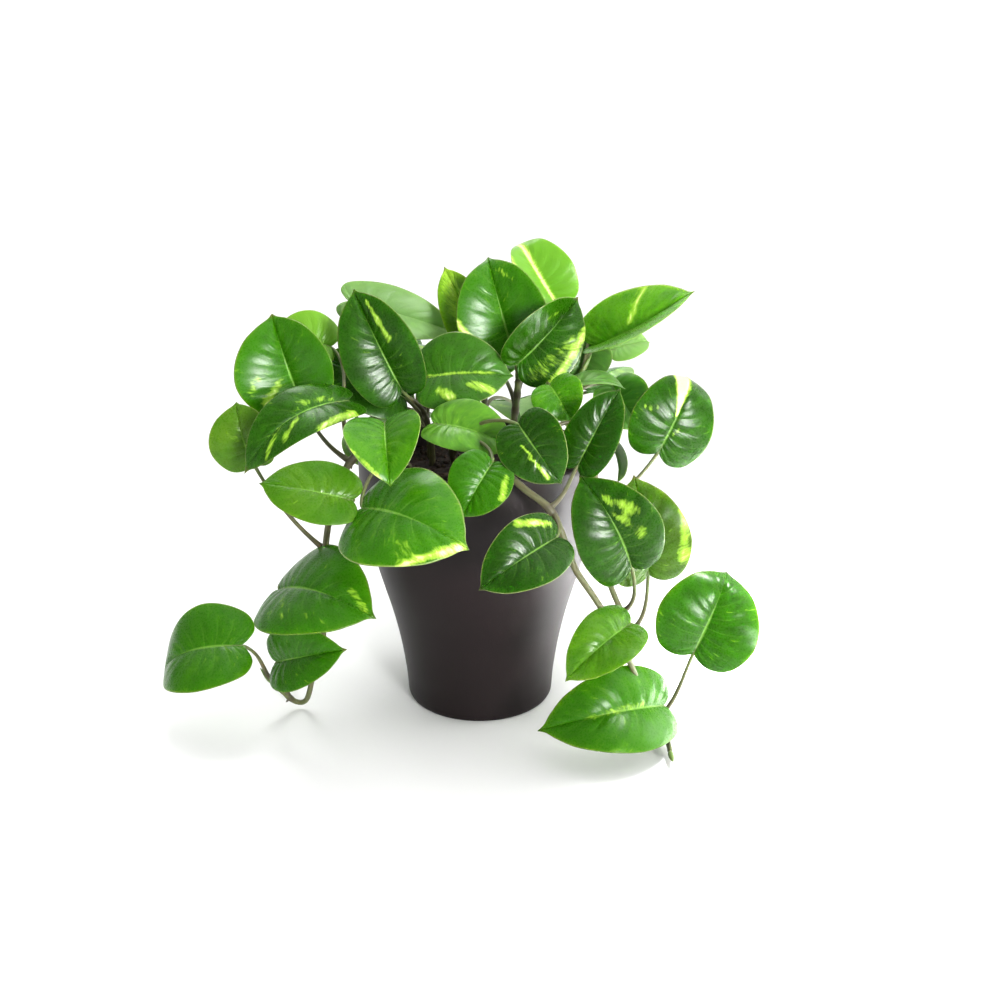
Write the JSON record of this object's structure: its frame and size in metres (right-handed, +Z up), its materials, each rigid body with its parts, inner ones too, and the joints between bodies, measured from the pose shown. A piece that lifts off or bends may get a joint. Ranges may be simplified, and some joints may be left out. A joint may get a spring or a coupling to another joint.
{
  "type": "potted plant",
  "caption": "Pothos in a flared round pot filled with soil, with heart-shaped variegated leaves on upright shoots and on vines that trail over the rim.",
  "frame": {"origin": "middle of the pot's flat underside, on the surface it stands on", "axes": "+Z up along the pot's axis, -Y towards the viewer at the front, +X to the viewer's right"},
  "size_m": [0.3588, 0.2867, 0.2843],
  "materials": {
    "pot": "satin",
    "soil": "matte",
    "foliage": "satin"
  },
  "bodies": {
    "root": {"pot": "pot", "soil": "soil", "vine_left": "foliage", "shoot_rim_left": "foliage", "shoot_left": "foliage", "shoot_center": "foliage", "shoot_front": "foliage", "shoot_right": "foliage", "vine_front": "foliage", "vine_right": "foliage", "shoot_back_left": "foliage", "shoot_back_right": "foliage", "shoot_back": "foliage", "vine_back": "foliage"}
  },
  "joints": []
}
